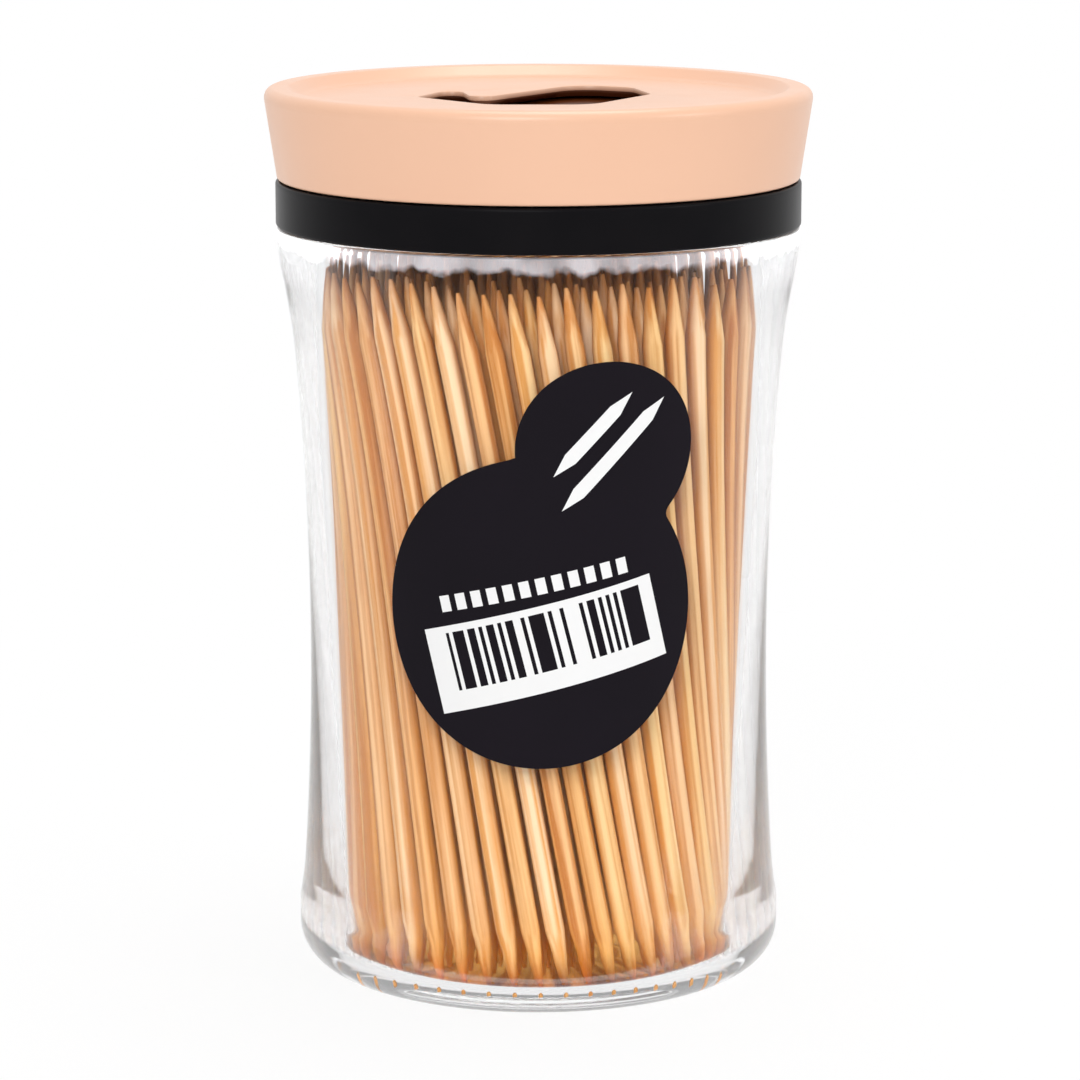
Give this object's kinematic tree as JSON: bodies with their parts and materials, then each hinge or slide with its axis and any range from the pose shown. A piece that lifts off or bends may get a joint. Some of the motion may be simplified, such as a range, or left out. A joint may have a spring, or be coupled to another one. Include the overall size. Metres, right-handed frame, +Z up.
{
  "type": "toothpick dispenser jar",
  "caption": "Clear waisted tumbler full of standing toothpicks, with a push-on neck cap and a turning lid whose lobed opening lets them out.",
  "frame": {"origin": "centre of the jar's foot, on the surface that it stands on", "axes": "+Z up along the axis of the jar and of the lid's turn; -Y towards the label"},
  "size_m": [0.0512, 0.0512, 0.0838],
  "materials": {
    "clear_plastic": "clear, polished",
    "black_plastic": "satin black",
    "lid_plastic": "satin peach",
    "label_film": "matte black film",
    "bamboo": "smooth unpainted bamboo"
  },
  "bodies": {
    "jar": {"jar": "clear_plastic", "label": "label_film", "toothpicks_ring_1": "bamboo", "toothpicks_ring_2": "bamboo", "toothpicks_ring_3": "bamboo", "toothpicks_ring_4": "bamboo", "toothpicks_ring_5": "bamboo", "toothpicks_ring_6": "bamboo", "toothpicks_ring_7": "bamboo", "toothpicks_ring_8": "bamboo"},
    "neck_cap": {"neck_cap": "black_plastic"},
    "cover": {"cover": "lid_plastic"}
  },
  "joints": [
    {"name": "cap_lift", "type": "slide", "parent": "jar", "child": "neck_cap", "axis": [0, 0, 1], "range_m": [0, 0.03]},
    {"name": "cover_turn", "type": "hinge", "parent": "neck_cap", "child": "cover", "pos_m": [0, 0, 0.0786], "axis": [0, 0, 1], "continuous": true}
  ]
}
